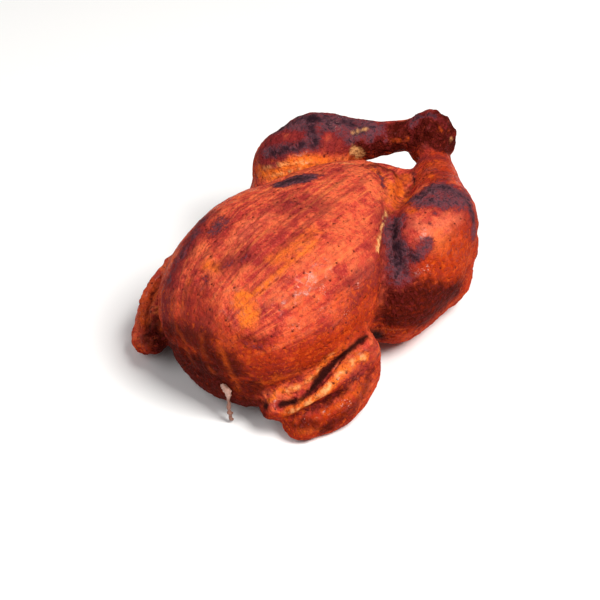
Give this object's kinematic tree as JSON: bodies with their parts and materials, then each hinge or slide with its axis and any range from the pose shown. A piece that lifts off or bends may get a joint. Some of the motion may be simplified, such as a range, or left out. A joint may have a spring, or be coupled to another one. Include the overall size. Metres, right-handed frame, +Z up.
{
  "type": "roast chicken",
  "caption": "Whole roast chicken on its back, plump breast up, legs crossed over an open vent and wings folded at the sides.",
  "frame": {"origin": "middle of the bird's length and width, on the plane of the flat spots that it rests on", "axes": "+X from the neck end to the crossed leg ends, +Y to the side of the leg that crosses on top, +Z up"},
  "size_m": [0.2708, 0.1766, 0.1085],
  "materials": {
    "roast_skin": "oily red-orange roasted skin with charred patches and yellow fat streaks"
  },
  "bodies": {
    "root": {"roast_chicken": "roast_skin"}
  },
  "joints": []
}
